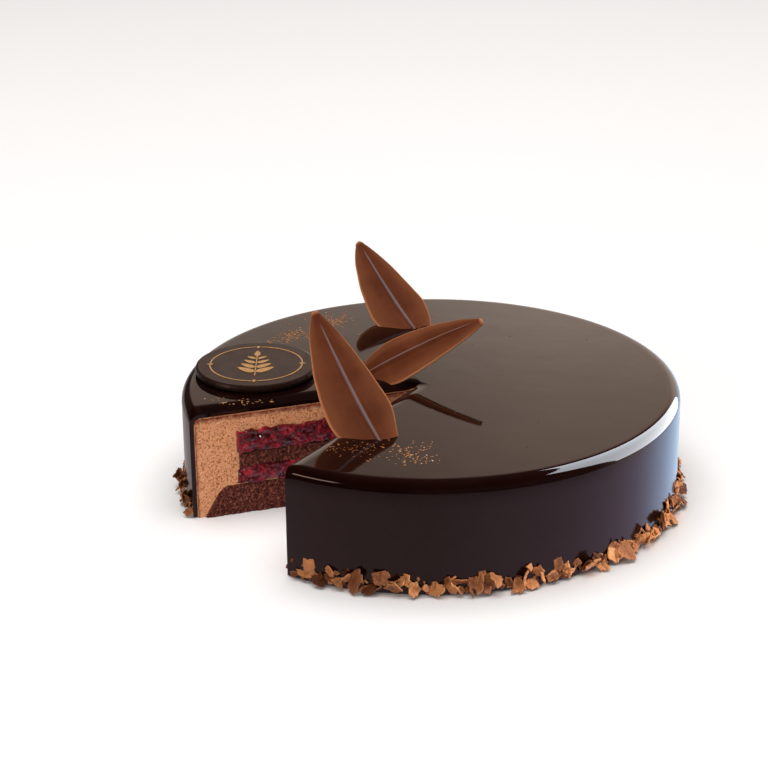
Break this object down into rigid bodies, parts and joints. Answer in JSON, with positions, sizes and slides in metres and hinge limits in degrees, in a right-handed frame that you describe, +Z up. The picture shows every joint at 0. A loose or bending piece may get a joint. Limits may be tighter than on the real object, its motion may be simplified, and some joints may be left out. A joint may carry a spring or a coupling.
{
  "type": "glazed chocolate mousse cake",
  "caption": "Round mirror-glazed chocolate mousse cake with a slice taken out, showing sponge, mousse and cherry layers, decorated with chocolate leaves, a chocolate disc and wafer flakes.",
  "frame": {"origin": "centre of the cake's underside, on the axis of its round wall", "axes": "+Z up out of the glazed top; +X to the right and +Y away from the viewer who looks at the cut side, with the missing slice towards -X and -Y"},
  "size_m": [0.2423, 0.2399, 0.0966],
  "materials": {
    "dark_sponge": "dark chocolate sponge, open crumb, matte",
    "light_mousse": "light chocolate mousse, fine bubbles, matte",
    "cherry_filling": "cherries in a clear crimson jelly, wet gloss",
    "mirror_glaze": "dark chocolate mirror glaze, high gloss",
    "milk_chocolate": "cast milk chocolate, satin",
    "dark_chocolate": "cast dark chocolate, satin",
    "wafer_flake": "crisp caramel wafer flakes, matte to satin",
    "gold_print": "edible gold print, soft metallic"
  },
  "bodies": {
    "root": {"base_sponge": "dark_sponge", "mousse_lower": "light_mousse", "cherry_lower": "cherry_filling", "sponge_middle": "dark_sponge", "cherry_upper": "cherry_filling", "mousse": "light_mousse", "glaze": "mirror_glaze", "leaf_front": "milk_chocolate", "leaf_back": "milk_chocolate", "leaf_side": "milk_chocolate", "plaque": "dark_chocolate"}
  },
  "joints": []
}
